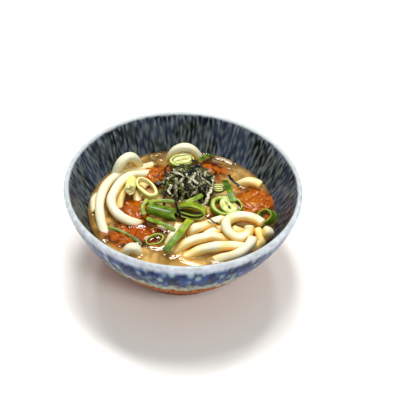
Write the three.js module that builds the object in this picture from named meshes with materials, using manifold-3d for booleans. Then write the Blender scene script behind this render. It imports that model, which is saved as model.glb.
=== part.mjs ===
// Udon noodle bowl: a glazed stoneware bowl with thick wheat noodles in broth, topped with spring onion,
// chopped red relish and a heap of shredded nori. Millimetres, +Z up, front towards -Y.
// The origin is the centre of the foot ring, on the surface that the bowl stands on.
import * as THREE from "three";
import { mergeVertices } from "three/addons/utils/BufferGeometryUtils.js";
import Module from "manifold-3d";

const wasm = await Module();
wasm.setup();

// ---------------------------------------------------------------- driving sizes

const GAP = 0.3; // clearance between pieces that touch

const RIM_R = 78;
const BOWL_H = 70;
const LIP_R = 1.9; // the rim is a round lip of this radius
const FOOT_R = 34;
const FOOT_H = 8;
const FOOT_WALL = 4.5;
const FOOT_RECESS = 4;
const BODY_R = 40; // where the body leaves the foot
const BODY_FULLNESS = 1.5; // 1 is a straight cone, more is rounder
const FLOOR_Z = 11; // lowest point inside
const INSIDE_R = RIM_R - 2 * LIP_R;
const INSIDE_ROUNDNESS = 2.9;
const INSIDE_RINGS = 8;
const OUTSIDE_RINGS = 6;
const BOWL_SIDES = 36;

const BROTH_Z = 46;

const NOODLE_R = 3.2; // half the width of a noodle
const NOODLE_SIDES = 6;
const NOODLE_SQUARENESS = 2.6; // exponent of the section's superellipse, 2 is round
const NESTING = 0.86; // noodles that cross sink into each other by the rest
const BEAD_STEP = 3; // spacing of the points that a noodle's route is worked out at
const FACET_STEP = 9; // length of one facet of a noodle
const BEND_STEP = 4; // the same on tight bends
const TIGHT_R = 20;
const SLACK_ROUNDS = 4; // how far a noodle bridges over what it crosses

const CORE_R = 55; // the packed noodles under the ones that show
const CORE_BASE_R = 28;
const CORE_TOP_Z = 44.6;
const CORE_EDGE_Z = 43;
const CORE_SIDES = 24;

const rad = THREE.MathUtils.degToRad;
const lerp = THREE.MathUtils.lerp;
const up = new THREE.Vector3(0, 0, 1);

// Evenly spaced values from a to b, both ends included.
function spread(a, b, count) {
  return Array.from({ length: count }, (_, i) => lerp(a, b, i / (count - 1)));
}

// A repeatable random number from low to high.
function makeRandom(seed) {
  let state = seed;
  return (low = 0, high = 1) => {
    state = (state * 16807) % 2147483647;
    return lerp(low, high, state / 2147483647);
  };
}

// ---------------------------------------------------------------- solids

// A closed three.js geometry as a solid.
function solid(geometry) {
  const bare = geometry.clone();
  bare.deleteAttribute("normal");
  bare.deleteAttribute("uv");
  const merged = mergeVertices(bare, 1e-4);
  return new wasm.Manifold(
    new wasm.Mesh({
      numProp: 3,
      vertProperties: merged.attributes.position.array,
      triVerts: new Uint32Array(merged.index.array),
    }),
  );
}

function fuse(solids) {
  return wasm.Manifold.union(solids);
}

// The largest of a solid's separate bodies, without the scraps that a cut leaves.
function mainBody(made) {
  return made.decompose().reduce((best, body) => (body.volume() > best.volume() ? body : best));
}

function cut(made, tools) {
  return mainBody(tools.reduce((left, tool) => left.subtract(tool), made));
}

// A body of revolution about Z. Its profile of [radius, z] pairs runs up the outside and back to the axis.
function turned(profile, sides) {
  const points = profile.map(([r, z]) => new THREE.Vector2(r, z));
  return new THREE.LatheGeometry(points, sides).rotateX(Math.PI / 2);
}

// The corners of a rounded rectangle: a superellipse of the given half sizes.
function superellipse(halfX, halfY, sides, exponent) {
  return Array.from({ length: sides }, (_, i) => {
    const angle = ((i + 0.5) * 2 * Math.PI) / sides;
    const [c, s] = [Math.cos(angle), Math.sin(angle)];
    const reach = (Math.abs(c) ** exponent + Math.abs(s) ** exponent) ** (-1 / exponent);
    return new THREE.Vector2(halfX * reach * c, halfY * reach * s);
  });
}

function curveThrough(points) {
  return new THREE.CatmullRomCurve3(points.map((p) => new THREE.Vector3(...p)));
}

// ---------------------------------------------------------------- bowl

function outsideR(z) {
  const t = (z - FOOT_H) / (BOWL_H - LIP_R - FOOT_H);
  return lerp(BODY_R, RIM_R, 1 - (1 - t) ** BODY_FULLNESS);
}

function insideR(z) {
  return INSIDE_R * ((z - FLOOR_Z) / (BOWL_H - LIP_R - FLOOR_Z)) ** (1 / INSIDE_ROUNDNESS);
}

function insideZ(r) {
  return lerp(FLOOR_Z, BOWL_H - LIP_R, (r / INSIDE_R) ** INSIDE_ROUNDNESS);
}

const insideStops = spread(0, INSIDE_R, INSIDE_RINGS + 1);

function bowl() {
  const foot = [
    [0, FOOT_RECESS],
    [FOOT_R - FOOT_WALL - 1, FOOT_RECESS],
    [FOOT_R - FOOT_WALL, 0],
    [FOOT_R, 0],
    [FOOT_R + 1, FOOT_H - 1.5],
  ];
  const outside = spread(FOOT_H, BOWL_H - LIP_R, OUTSIDE_RINGS + 1).map((z) => [outsideR(z), z]);
  const lip = spread(45, 135, 3).map((angle) => [
    RIM_R - LIP_R + LIP_R * Math.cos(rad(angle)),
    BOWL_H - LIP_R + LIP_R * Math.sin(rad(angle)),
  ]);
  const inside = insideStops.map((r) => [r, insideZ(r)]).reverse();
  return solid(turned([...foot, ...outside, ...lip, ...inside], BOWL_SIDES));
}

// ---------------------------------------------------------------- noodle routes

// Noodles that lie down, from the lowest up. Each sets out from a place in plan on a compass heading and
// bends to the left by so many degrees over each length, or to the right where the turn is negative. Its
// least heights are spread evenly along it.
const NOODLES = [
  { from: [-25, 27], heading: 228, bends: [[32, 80]], z: [45, 47, 43] }, // bottom layer of the middle
  { from: [13, -11], heading: 130, bends: [[35, 100]], z: [44, 47, 44] },
  { from: [-9, 16], heading: 302, bends: [[37, 63]], z: [45, 49, 45] }, // second layer of the middle
  { from: [-20, -19], heading: 25, bends: [[30, -49]], z: [43, 46, 45] },
  { from: [-59, 10.5], heading: 260, bends: [[18, 17]], z: [46, 48, 46] }, // stub along the left wall
  { from: [-31, 30], heading: 236, bends: [[14, 3], [22, 45]], z: [44, 49, 49, 42] }, // inside the hook
  { from: [-22.5, 49], heading: 245, bends: [[24, -33], [23, 39], [42, 51]], z: [43, 50, 52, 52, 50, 43] },
  {
    from: [-11.4, 40], heading: 196.5, bends: [[52, 56.5], [37, 143]],
    z: [43, 46.5, 51, 52.7, 52.8, 51, 48, 43],
  }, // left hook
  { from: [-1.5, -18.5], heading: 253, bends: [[19, -17]], z: [45, 48, 42] }, // short, front
  { from: [5, -23], heading: 29, bends: [[21, 3], [16, 7]], z: [42, 49, 49.5, 47] }, // under the loop
  { from: [9, -28], heading: 26, bends: [[13, 8], [12, -26]], z: [42, 47, 48, 46] },
  { from: [34, -25.5], heading: 182, bends: [[21, 17], [24, 21]], z: [46, 49.5, 49, 42] }, // front, inner
  { from: [33, -20], heading: 5, bends: [[19, -18]], z: [44, 47, 46] }, // seen through the loop
  { from: [43.5, -33], heading: 189, bends: [[21, 0], [24, 19]], z: [48, 50, 48.5, 42] }, // front, middle
  { from: [48.5, -20.5], heading: 310, bends: [[14, -41], [8, -60]], z: [47, 48, 46, 42] }, // right wall
  { from: [53.5, -24.5], heading: 12, bends: [[7, 8]], z: [46, 49, 51.5] }, // end that rises at the right
  { from: [46.5, -30.5], heading: 258, bends: [[20, -75], [14, 0]], z: [54, 51, 47, 42] }, // front, outer
  {
    from: [53, -16], heading: 134, bends: [[20, 66], [26, 176], [9, 85]],
    z: [53, 54, 54, 52, 51, 52],
  }, // loop
  { from: [34, 31], heading: 358, bends: [[19, -18]], z: [42, 49, 48] }, // back right shoulder
];

// Noodles that stand up out of the broth in an arch between two feet.
const ARCHES = [
  { from: [-47.5, 26], to: [-31.5, 38.5], foot: 43, top: 62.5 }, // tall arch, back left
  { from: [-11.5, 52], to: [9, 53], foot: 43, top: 57.5 }, // low arch, back
  { from: [-34.8, -41.6], to: [-25.6, -41.2], foot: 41, top: 49.8 }, // small loop, front left
];

function lyingRoute({ from, heading, bends, z }) {
  const plan = [from];
  let course = rad(heading);
  for (const [length, turn] of bends) {
    const paces = Math.round(length / BEAD_STEP);
    const [pace, veer] = [length / paces, rad(turn) / paces];
    for (let i = 0; i < paces; i++) {
      const [x, y] = plan.at(-1);
      plan.push([x + pace * Math.cos(course + veer / 2), y + pace * Math.sin(course + veer / 2)]);
      course += veer;
    }
  }
  const heights = new THREE.SplineCurve(z.map((height, i) => new THREE.Vector2(i, height)));
  const points = plan.map(([x, y], i) => [x, y, heights.getPoint(i / (plan.length - 1)).y]);
  const tightest = Math.min(...bends.map(([length, turn]) => length / Math.abs(rad(turn))));
  return { points, step: tightest < TIGHT_R ? BEND_STEP : FACET_STEP };
}

function archRoute({ from, to, foot, top }) {
  const points = spread(0, 180, 13).map((angle) => {
    const across = (1 - Math.cos(rad(angle))) / 2;
    return [
      lerp(from[0], to[0], across),
      lerp(from[1], to[1], across),
      lerp(foot, top, Math.sin(rad(angle))),
    ];
  });
  return { points, step: BEND_STEP };
}

function coreTopZ(r) {
  return lerp(CORE_TOP_Z, CORE_EDGE_Z, Math.min(r / CORE_R, 1) ** 2);
}

// The height at which a noodle's middle line rests on another's bead, or nothing where it is clear of it.
function restOn([x, y], [bx, by, bz]) {
  const reach = 2 * NOODLE_R * NESTING;
  const away = Math.hypot(x - bx, y - by);
  return away < reach ? bz + Math.sqrt(reach ** 2 - away ** 2) : -Infinity;
}

// Lays each route over those before it, then evens out its rises.
function lay(routes) {
  const laid = [];
  for (const { points } of routes) {
    for (const point of points) {
      point[2] = Math.max(point[2], ...laid.map((bead) => restOn(point, bead)));
    }
    for (let round = 0; round < SLACK_ROUNDS; round++) {
      const z = points.map((point) => point[2]);
      points.forEach((point, i) => {
        if (i > 0 && i < points.length - 1)
          point[2] = Math.max(z[i], (z[i - 1] + 2 * z[i] + z[i + 1]) / 4);
      });
    }
    points.forEach(keepInside);
    laid.push(...points);
  }
  return routes;
}

// Moves a bead in from the bowl's wall until a noodle fits between.
function keepInside(bead) {
  const limit = insideR(bead[2] - NOODLE_R / 2) - 1.1 * NOODLE_R - 2 * GAP;
  const inward = Math.min(1, limit / Math.hypot(bead[0], bead[1]));
  bead[0] *= inward;
  bead[1] *= inward;
}

const noodleRoutes = [...lay(NOODLES.map(lyingRoute)), ...ARCHES.map(archRoute)];

// ---------------------------------------------------------------- noodles

// A grown copy has the facets and the twist of the bare noodle, so it clears it evenly.
function noodle({ points, step }, grow) {
  const half = NOODLE_R + grow;
  const section = new THREE.Shape(superellipse(half, half, NOODLE_SIDES, NOODLE_SQUARENESS));
  const bare = curveThrough(points);
  const steps = Math.ceil(bare.getLength() / step);
  const extrudePath = curveThrough(lengthened(points, grow));
  extrudePath.computeFrenetFrames = () => bare.computeFrenetFrames(steps, false);
  return solid(new THREE.ExtrudeGeometry(section, { steps, bevelEnabled: false, extrudePath }));
}

// A route with its ends moved outwards by the given length.
function lengthened(points, more) {
  const beyond = ([x, y, z], [nx, ny, nz]) => {
    const share = more / Math.hypot(x - nx, y - ny, z - nz);
    return [lerp(x, nx, -share), lerp(y, ny, -share), lerp(z, nz, -share)];
  };
  const last = points.length - 1;
  return [beyond(points[0], points[1]), ...points.slice(1, last), beyond(points[last], points[last - 1])];
}

// The packed noodles: they rest on the bowl's floor and flare up to a dome just under the broth's level.
function noodleCore(grow) {
  const floor = insideStops.slice(0, 4).map((r) => [r, insideZ(r) + GAP]);
  floor.push([CORE_BASE_R + 1.5 * grow, insideZ(CORE_BASE_R) + 2 * GAP]);
  const top = spread(CORE_R + 2.5 * grow, 0, 4).map((r) => [r, coreTopZ(r) + grow]);
  return solid(turned([...floor, ...top], CORE_SIDES));
}

function noodleHeap(grow) {
  return fuse([noodleCore(grow), ...noodleRoutes.map((route) => noodle(route, grow))]);
}

// ---------------------------------------------------------------- toppings

// Cut rings and tubes of spring onion: place, size of the oval, wall, length along the stalk, how far
// the stalk leans from upright and towards which compass angle, and the turn of the oval in plan.
const RINGS = {
  onion_ring_left: {
    at: [-24.5, 11.5, 54], half: [11, 5.2], wall: 2.2, length: 4.5, lean: 12, towards: 200, turn: -52,
  },
  onion_stack_left: {
    at: [-35.5, 13, 55], half: [3.6, 3.6], wall: 2.2, length: 13, lean: 78, towards: -92, turn: 0,
  },
  onion_tube_middle: {
    at: [-13, -9.6, 53.5], half: [3.6, 5], wall: 1, length: 19, lean: 86, towards: 168, turn: 0,
  },
  onion_loop_middle: {
    at: [6, -8.6, 54.5], half: [10, 5], wall: 1.1, length: 7, lean: 72, towards: 258, turn: -10,
  },
  onion_ring_right: {
    at: [28.7, -0.8, 52.5], half: [11, 8.2], wall: 2.4, length: 5.5, lean: 14, towards: 255, turn: -6,
  },
  onion_chip_right: {
    at: [23.2, 15.5, 54], half: [4.8, 2.8], wall: 1.2, length: 4, lean: 30, towards: 270, turn: 0,
  },
  onion_curl_wall: {
    at: [55.5, -8.5, 52.5], half: [5.8, 4.8], wall: 1.2, length: 9, lean: 48, towards: 225, turn: 20,
  },
  onion_ring_back: {
    at: [-3, 45.5, 51], half: [8.8, 4.8], wall: 1.6, length: 5, lean: 28, towards: 268, turn: 6,
  },
  onion_ring_front: {
    at: [-16.5, -30, 46.6], half: [6.5, 4.4], wall: 1.2, length: 3, lean: 8, towards: 270, turn: 30,
  },
};

// Flat strips and narrow leaves of spring onion: width, thickness and route.
const LEAVES = {
  onion_leaf_front: {
    width: 4.6, thick: 2.2,
    route: [[6.5, -15.5, 51.5], [4.6, -18.8, 53.5], [-2.1, -33, 53.5], [-9.2, -43, 49.5]],
  },
  onion_strip_front: {
    width: 3, thick: 1.1, route: [[-22.8, -15.1, 51.5], [-13.8, -20, 52.5], [-3.9, -25, 51.5]],
  },
  onion_strip_middle: {
    width: 2.8, thick: 1.6, route: [[-22.5, -4.4, 56], [-14.2, -4.2, 57.5], [-5.5, -4.4, 57.5]],
  },
  onion_leaf_middle: {
    width: 3.6, thick: 1.2, route: [[2.2, -4.4, 57], [7.3, -1.6, 58.5], [12.6, 2.6, 58.5]],
  },
  onion_curl_left: {
    width: 2.6, thick: 1, route: [[-23.6, -0.5, 55], [-26, -7.4, 54.5], [-24.4, -13.6, 53]],
  },
  onion_strip_right: {
    width: 4.6, thick: 1.1, route: [[27.1, 22.4, 55], [30.2, 10.2, 57.5], [33.8, 0.8, 56]],
  },
  onion_strip_back: {
    width: 3, thick: 1, route: [[8.4, 45.3, 52], [13.1, 52.4, 50], [18, 58, 47]],
  },
  onion_strip_sunk: {
    width: 2, thick: 1.2,
    route: [[-49, -20, 46.6], [-39.6, -23.5, 46.8], [-30.7, -28.9, 46.6], [-25, -34, 46]],
  },
};

// Small heaps of chopped red relish: place, size of the patch, height, and number of lumps on it.
const RELISH = {
  relish_back: { at: [-19, 31.5, 48], half: [11.5, 8.5], height: 5, lumps: 4, seed: 3 },
  relish_far: { at: [15, 41, 47], half: [9, 6.5], height: 4, lumps: 4, seed: 4 },
  relish_left: { at: [-30, -2.5, 46], half: [8.5, 13], height: 5, lumps: 5, seed: 5 },
  relish_front: { at: [-30, -24.5, 44.8], half: [15, 8.5], height: 2.6, lumps: 3, seed: 8 },
  relish_right: { at: [45, 9.5, 47], half: [13.5, 11.5], height: 5, lumps: 6, seed: 12 },
};
const LUMP_R = [2.4, 4];

// The heap of nori shreds: a low dome of packed shreds and the shreds that show on it.
const NORI = { at: [3.5, 18.5, 51], half: [18, 15], height: 13, shreds: 9, seed: 21 };
const SHRED = { width: 2, thick: 0.9, length: [15, 26] };

// A straight-sided bar bent along a curve, with its width kept level across the curve.
function strip(width, thick, curve, steps) {
  const bar = new THREE.ExtrudeGeometry(
    new THREE.Shape(superellipse(width / 2, thick / 2, 4, 8)),
    { depth: 1, steps, bevelEnabled: false },
  );
  const position = bar.attributes.position;
  for (let i = 0; i < position.count; i++) {
    const along = curve.getTangentAt(THREE.MathUtils.clamp(position.getZ(i), 0, 1));
    const side = new THREE.Vector3().crossVectors(up, along).normalize();
    const over = new THREE.Vector3().crossVectors(along, side);
    const place = curve.getPointAt(THREE.MathUtils.clamp(position.getZ(i), 0, 1));
    place.addScaledVector(side, position.getX(i)).addScaledVector(over, position.getY(i));
    position.setXYZ(i, place.x, place.y, place.z);
  }
  return solid(bar);
}

function onionRing({ at, half, wall, length, lean, towards, turn }, grow) {
  const outline = new THREE.Shape().absellipse(0, 0, half[0] + grow, half[1] + grow, 0, 2 * Math.PI);
  const bore = [half[0] - wall - grow, half[1] - wall - grow];
  outline.holes.push(new THREE.Path().absellipse(0, 0, bore[0], bore[1], 0, 2 * Math.PI));
  const depth = length + 2 * grow;
  const ring = new THREE.ExtrudeGeometry(outline, { depth, curveSegments: 6, bevelEnabled: false });
  ring.translate(0, 0, -depth / 2).rotateZ(rad(turn - towards));
  ring.rotateY(rad(lean)).rotateZ(rad(towards));
  return solid(ring.translate(...at));
}

function onionLeaf({ width, thick, route }, grow) {
  return strip(width + 2 * grow, thick + 2 * grow, curveThrough(lengthened(route, grow)), 5);
}

// A low dome, widest at the height of the given place and sunk a little below it.
function dome(at, half, height, grow, sides) {
  const profile = [
    [0, -1 - grow],
    [0.8, -1 - grow],
    [1, 0],
    [0.8, 0.6 * height + grow],
    [0, height + grow],
  ];
  const shape = turned(profile, sides).scale(half[0] + 2 * grow, half[1] + 2 * grow, 1);
  return solid(shape.translate(...at));
}

function relish({ at, half, height, lumps, seed }, grow) {
  const random = makeRandom(seed);
  const pieces = Array.from({ length: lumps }, (_, i) => {
    const size = random(...LUMP_R);
    const angle = i * 2.4; // the golden angle spreads the lumps evenly
    const out = Math.sqrt((i + 0.5) / lumps);
    const lump = new THREE.IcosahedronGeometry(1, 0);
    lump.scale(size * random(1, 1.5) + grow, size + grow, size * random(0.5, 0.9) + grow);
    lump.rotateX(random(-0.5, 0.5)).rotateZ(random(0, 3));
    const x = at[0] + half[0] * out * Math.cos(angle);
    const y = at[1] + half[1] * out * Math.sin(angle);
    const z = at[2] + 0.8 * height * Math.sqrt(1 - out * out);
    return solid(lump.translate(x, y, z));
  });
  return fuse([dome(at, half, height * 0.7, grow, 8), ...pieces]);
}

function nori({ at, half, height, shreds, seed }, grow) {
  const random = makeRandom(seed);
  const strips = Array.from({ length: shreds }, (_, i) => {
    const [angle, heading] = [i * 2.4, random(0, 2 * Math.PI)];
    const out = 0.75 * Math.sqrt((i + 0.5) / shreds);
    const length = random(...SHRED.length);
    const points = spread(-0.5, 0.5, 4).map((t) => {
      const x = half[0] * out * Math.cos(angle) + t * length * Math.cos(heading + t);
      const y = half[1] * out * Math.sin(angle) + t * length * Math.sin(heading + t);
      const inside = Math.max(0, 1 - (x / half[0]) ** 2 - (y / half[1]) ** 2);
      return [at[0] + x, at[1] + y, at[2] + height * Math.sqrt(inside) + random(0.3, 1)];
    });
    const curve = curveThrough(lengthened(points, grow));
    return strip(SHRED.width + 2 * grow, SHRED.thick + 2 * grow, curve, 3);
  });
  return fuse([dome(at, half, height, grow, 10), ...strips]);
}

// ---------------------------------------------------------------- assembly

const FINISH = {
  glaze: { color: 0x33415f, roughness: 0.25 },
  noodle: { color: 0xeadfb4, roughness: 0.4 },
  onion: { color: 0x5f9a2c, roughness: 0.4 },
  relish: { color: 0xc2501c, roughness: 0.25 },
  nori: { color: 0x15201a, roughness: 0.5 },
  broth: { color: 0xb06a1c, roughness: 0.1 },
};

const udonBowl = new THREE.Group();

function addPiece(name, made, finish) {
  const mesh = made.getMesh();
  const geometry = new THREE.BufferGeometry();
  geometry.setAttribute("position", new THREE.BufferAttribute(mesh.vertProperties, 3));
  geometry.setIndex(new THREE.BufferAttribute(mesh.triVerts, 1));
  geometry.computeVertexNormals();
  const material = new THREE.MeshStandardMaterial({ ...FINISH[finish], metalness: 0 });
  const piece = new THREE.Mesh(geometry, material);
  piece.name = name;
  udonBowl.add(piece);
}

// What fills the bowl up to the broth's level, a gap clear of the wall.
function bowlFill() {
  const wetted = insideStops.filter((r) => insideZ(r) < BROTH_Z);
  const wall = wetted.map((r) => [Math.max(r - GAP, 0), insideZ(r) + GAP]);
  return solid(turned([...wall, [insideR(BROTH_Z) - 2 * GAP, BROTH_Z], [0, BROTH_Z]], BOWL_SIDES));
}

addPiece("bowl", bowl(), "glaze");
addPiece("noodles", mainBody(noodleHeap(0)), "noodle");

// Each topping is cut to fit over the noodles and the toppings before it.
const laidPieces = [noodleHeap(GAP)];
const toppings = [
  ...Object.entries(RINGS).map(([name, ring]) => [name, (grow) => onionRing(ring, grow), "onion"]),
  ...Object.entries(LEAVES).map(([name, leaf]) => [name, (grow) => onionLeaf(leaf, grow), "onion"]),
  ...Object.entries(RELISH).map(([name, patch]) => [name, (grow) => relish(patch, grow), "relish"]),
  ["nori", (grow) => nori(NORI, grow), "nori"],
];
for (const [name, make, finish] of toppings) {
  addPiece(name, cut(make(0), laidPieces), finish);
  laidPieces.push(make(GAP));
}

addPiece("broth", cut(bowlFill(), laidPieces), "broth");

export default udonBowl;
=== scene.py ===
import math

import bpy
import numpy as np
from mathutils import Matrix, Vector, kdtree
from mathutils.bvhtree import BVHTree


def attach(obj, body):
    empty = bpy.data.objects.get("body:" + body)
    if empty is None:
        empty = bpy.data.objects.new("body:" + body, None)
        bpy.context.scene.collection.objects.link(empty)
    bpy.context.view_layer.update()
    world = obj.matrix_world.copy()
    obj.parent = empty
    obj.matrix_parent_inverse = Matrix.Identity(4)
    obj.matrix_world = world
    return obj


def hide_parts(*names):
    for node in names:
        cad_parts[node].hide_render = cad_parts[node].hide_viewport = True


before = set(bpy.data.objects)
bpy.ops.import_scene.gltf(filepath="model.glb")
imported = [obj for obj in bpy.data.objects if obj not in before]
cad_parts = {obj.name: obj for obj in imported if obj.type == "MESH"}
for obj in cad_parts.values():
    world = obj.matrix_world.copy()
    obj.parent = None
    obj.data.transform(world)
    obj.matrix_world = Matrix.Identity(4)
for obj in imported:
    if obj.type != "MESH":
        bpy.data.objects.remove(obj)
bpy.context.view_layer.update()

# Udon noodle bowl, with +Z up and its front towards -Y. Sizes are in millimetres, but those of the floor and
# the lights are in metres. Angles are in degrees.
MM = 0.001

# ---------------------------------------------------------------- sizes, as in the CAD source

RIM_R = 78
BOWL_H = 70
LIP_R = 1.9
FOOT_R = 34
FOOT_H = 8
FOOT_WALL = 4.5
FOOT_RECESS = 4
BODY_R = 40
BODY_FULLNESS = 1.5
FLOOR_Z = 11
INSIDE_R = RIM_R - 2 * LIP_R
INSIDE_ROUNDNESS = 2.9
WALL_TOP = BOWL_H - LIP_R

BROTH_Z = 46

NOODLE_R = 3.2
NOODLE_SQUARENESS = 2.6
NESTING = 0.86
BEAD_STEP = 3
SLACK_ROUNDS = 4

CORE_R = 55
CORE_BASE_R = 28
CORE_TOP_Z = 44.6
CORE_EDGE_Z = 43

# Noodles that lie down, from the lowest up: start in plan, heading from +X, bends as pairs of a length and a
# turn to the left, and least heights spread evenly along the noodle.
NOODLES = [
    ([-25, 27], 228, [[32, 80]], [45, 47, 43]),  # bottom layer of the middle
    ([13, -11], 130, [[35, 100]], [44, 47, 44]),
    ([-9, 16], 302, [[37, 63]], [45, 49, 45]),  # second layer of the middle
    ([-20, -19], 25, [[30, -49]], [43, 46, 45]),
    ([-59, 10.5], 260, [[18, 17]], [46, 48, 46]),  # stub along the left wall
    ([-31, 30], 236, [[14, 3], [22, 45]], [44, 49, 49, 42]),  # left, inside the hook
    ([-22.5, 49], 245, [[24, -33], [23, 39], [42, 51]], [43, 50, 52, 52, 50, 43]),
    ([-11.4, 40], 196.5, [[52, 56.5], [37, 143]], [43, 46.5, 51, 52.7, 52.8, 51, 48, 43]),  # left hook
    ([-1.5, -18.5], 253, [[19, -17]], [45, 48, 42]),  # short, front
    ([5, -23], 29, [[21, 3], [16, 7]], [42, 49, 49.5, 47]),  # under the looped noodle
    ([9, -28], 26, [[13, 8], [12, -26]], [42, 47, 48, 46]),
    ([34, -25.5], 182, [[21, 17], [24, 21]], [46, 49.5, 49, 42]),  # front row, innermost
    ([33, -20], 5, [[19, -18]], [44, 47, 46]),  # seen through the loop
    ([43.5, -33], 189, [[21, 0], [24, 19]], [48, 50, 48.5, 42]),  # front row, middle
    ([48.5, -20.5], 310, [[14, -41], [8, -60]], [47, 48, 46, 42]),  # right wall
    ([53.5, -24.5], 12, [[7, 8]], [46, 49, 51.5]),  # end that rises at the right
    ([46.5, -30.5], 258, [[20, -75], [14, 0]], [54, 51, 47, 42]),  # front row, outermost
    ([53, -16], 134, [[20, 66], [26, 176], [9, 85]], [53, 54, 54, 52, 51, 52]),  # loop
    ([34, 31], 358, [[19, -18]], [42, 49, 48]),  # back right shoulder
]

# Noodles that stand up in an arch: the two feet in plan, height of the feet and of the top.
ARCHES = [
    ([-47.5, 26], [-31.5, 38.5], 43, 62.5),
    ([-11.5, 52], [9, 53], 43, 57.5),
    ([-34.8, -41.6], [-25.6, -41.2], 41, 49.8),
]


def outside_r(z):
    """The bowl's radius outside at a height."""
    t = (z - FOOT_H) / (WALL_TOP - FOOT_H)
    return BODY_R + (RIM_R - BODY_R) * (1 - (1 - t) ** BODY_FULLNESS)


def inside_r(z):
    """The bowl's radius inside at a height."""
    return INSIDE_R * ((z - FLOOR_Z) / (WALL_TOP - FLOOR_Z)) ** (1 / INSIDE_ROUNDNESS)


def inside_z(r):
    """The height of the bowl's inside at a radius."""
    return FLOOR_Z + (WALL_TOP - FLOOR_Z) * (r / INSIDE_R) ** INSIDE_ROUNDNESS


def core_top_z(r):
    """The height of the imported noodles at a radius."""
    return CORE_TOP_Z + (CORE_EDGE_Z - CORE_TOP_Z) * min(r / CORE_R, 1) ** 2


# ---------------------------------------------------------------- shapes

class Shape:
    """Corners, faces and named values, one per corner, that together become one mesh."""

    def __init__(self):
        self.verts = np.zeros((0, 3))
        self.faces = []
        self.values = {}

    def add(self, verts, faces, **values):
        """Adds corners and faces. Each of the values is one number, or one for each corner."""
        start = len(self.verts)
        self.faces += [tuple(start + corner for corner in face) for face in faces]
        self.verts = np.vstack([self.verts, verts])
        for key, value in values.items():
            filled = np.broadcast_to(np.asarray(value, float), len(verts))
            self.values[key] = np.concatenate([self.values.get(key, np.zeros(start)), filled])
        return self

    def normals(self):
        """The mean direction of the faces at each corner."""
        total = np.zeros_like(self.verts)
        for size in (3, 4):
            faces = np.array([face for face in self.faces if len(face) == size], int).reshape(-1, size)
            a, b, c = (self.verts[faces[:, k]] for k in (0, 1, size - 1))
            flat = np.cross(b - a, c - a)
            for k in range(size):
                np.add.at(total, faces[:, k], flat)
        return total / np.maximum(np.linalg.norm(total, axis=1, keepdims=True), 1e-9)


def loft(rings, ring_closed=False):
    """Quads over rings of equal size. The end rings are closed round a middle corner, or joined."""
    rings = np.asarray(rings, float)
    count, size = rings.shape[:2]
    row = np.arange(count if ring_closed else count - 1)[:, None]
    column = np.arange(size)[None, :]
    after, beside = (row + 1) % count, (column + 1) % size
    corners = [row * size + column, row * size + beside, after * size + beside, after * size + column]
    faces = np.stack(corners, -1).reshape(-1, 4).tolist()
    verts = rings.reshape(-1, 3)
    if not ring_closed:
        verts = np.vstack([verts, rings[0].mean(0), rings[-1].mean(0)])
        first, last = count * size, count * size + 1
        top = (count - 1) * size
        faces += [[first, (j + 1) % size, j] for j in range(size)]
        faces += [[last, top + j, top + (j + 1) % size] for j in range(size)]
    return verts, faces


def ring_values(values, size):
    """One value per ring, spread over the corners that loft makes."""
    values = np.asarray(values, float)
    return np.concatenate([np.repeat(values, size), [values[0], values[-1]]])


def superellipse(sides, exponent):
    """Corners of a rounded square that reaches from -1 to 1."""
    angle = (np.arange(sides) + 0.5) * 2 * math.pi / sides
    c, s = np.cos(angle), np.sin(angle)
    reach = (np.abs(c) ** exponent + np.abs(s) ** exponent) ** (-1 / exponent)
    return np.stack([c * reach, s * reach], 1)


def smooth(low, high, x):
    """A smooth step from 0 at low to 1 at high."""
    t = np.clip((np.asarray(x, float) - low) / (high - low), 0, 1)
    return t * t * (3 - 2 * t)


def waver(rng, x, size, wavelengths):
    """A smooth random wave along x."""
    return sum(
        size * rng.uniform(0.5, 1) / len(wavelengths) * np.sin(2 * math.pi * (x / length + rng.uniform()))
        for length in wavelengths
    )


def curve(points, step):
    """Points about step apart on a smooth curve through the given points, and the length run to each."""
    p = np.asarray(points, float)
    p = np.vstack([2 * p[0] - p[1], p, 2 * p[-1] - p[-2]])
    t = np.linspace(0, 1, 24, endpoint=False)[:, None]
    pieces = []
    for a, b, c, d in zip(p, p[1:], p[2:], p[3:]):
        bend = (2 * a - 5 * b + 4 * c - d) * t**2 + (3 * b - a - 3 * c + d) * t**3
        pieces.append(b + 0.5 * ((c - a) * t + bend))
    dense = np.vstack([*pieces, p[-2:-1]])
    run = np.concatenate([[0], np.cumsum(np.linalg.norm(np.diff(dense, axis=0), axis=1))])
    stops = np.linspace(0, run[-1], max(int(run[-1] / step), 2) + 1)
    return np.stack([np.interp(stops, run, dense[:, k]) for k in range(3)], 1), stops


def frames(path):
    """Unit vectors sideways and over at each point of a path, with no sudden twist."""
    along = np.gradient(path, axis=0)
    along /= np.linalg.norm(along, axis=1, keepdims=True)
    side = np.cross([0, 0, 1], along[0])
    if np.linalg.norm(side) < 0.2:
        side = np.cross(along[0], path[-1] - path[0])
    sides = []
    for direction in along:
        side = side - direction * np.dot(side, direction)
        side /= np.linalg.norm(side)
        sides.append(side)
    sides = np.array(sides)
    return sides, np.cross(along, sides)


def sweep(path, outline, width, height, turn=0.0):
    """Rings of an outline along a path; width and height may change along it."""
    side, over = frames(path)
    width, height, turn = (np.broadcast_to(v, len(path))[:, None] for v in (width, height, turn))
    x = outline[None, :, 0] * width
    y = outline[None, :, 1] * height
    across = x * np.cos(turn) - y * np.sin(turn)
    upward = x * np.sin(turn) + y * np.cos(turn)
    return path[:, None] + across[..., None] * side[:, None] + upward[..., None] * over[:, None]


# ---------------------------------------------------------------- noodles

NOODLE_SIDES = 20
SUNKEN_COUNT = 42
SUNKEN_R = 2.9
SUNKEN_SPREAD = 46
SUNKEN_LIMIT = 54
SUNKEN_DEPTH = 2.3
CORE_SIDES = 96


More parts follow.
